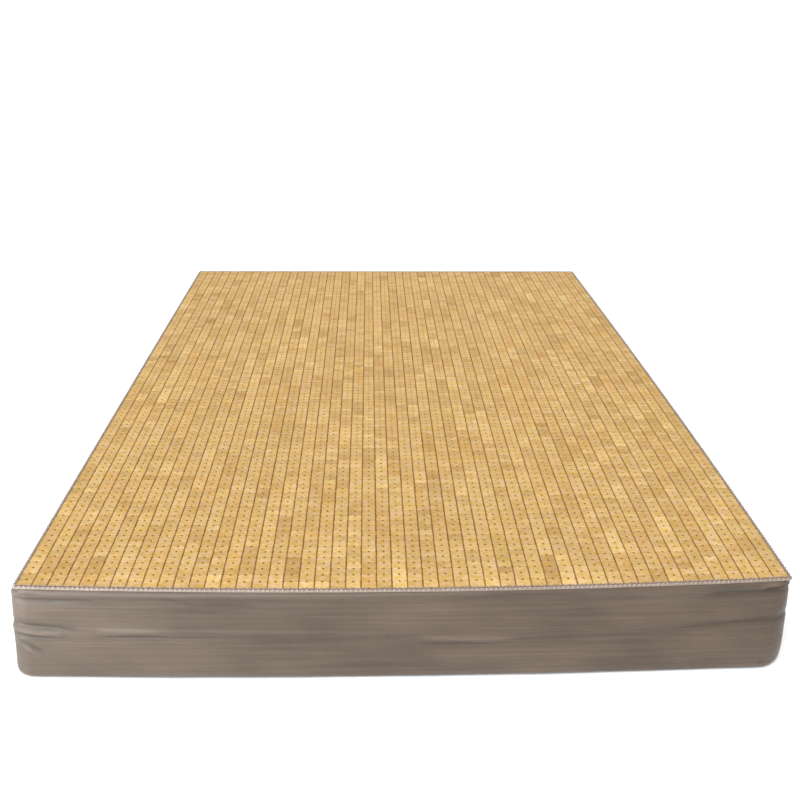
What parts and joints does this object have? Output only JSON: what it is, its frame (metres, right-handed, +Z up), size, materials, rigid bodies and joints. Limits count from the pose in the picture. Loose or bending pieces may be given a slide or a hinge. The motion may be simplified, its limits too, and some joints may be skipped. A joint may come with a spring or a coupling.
{
  "type": "fitted bamboo tile mat on a mattress",
  "caption": "Bamboo tile mat with a looped braid edge and a taupe cloth skirt, stretched flat over a plain mattress that it fits, with the hem tucked under.",
  "frame": {"origin": "on the floor, under the middle of the mattress and its cover", "axes": "+X across the width, +Y along the length away from the front edge that the picture shows, +Z up through the mat's face"},
  "size_m": [1.5327, 2.0415, 0.2],
  "materials": {
    "bamboo": "smooth, lightly waxed",
    "braid": "twisted yarn",
    "taupe_cloth": "satin",
    "ticking": "matt weave"
  },
  "bodies": {
    "root": {"bamboo_mat": "bamboo", "edge_braid": "braid", "cover_skirt": "taupe_cloth", "mattress": "ticking"}
  },
  "joints": []
}
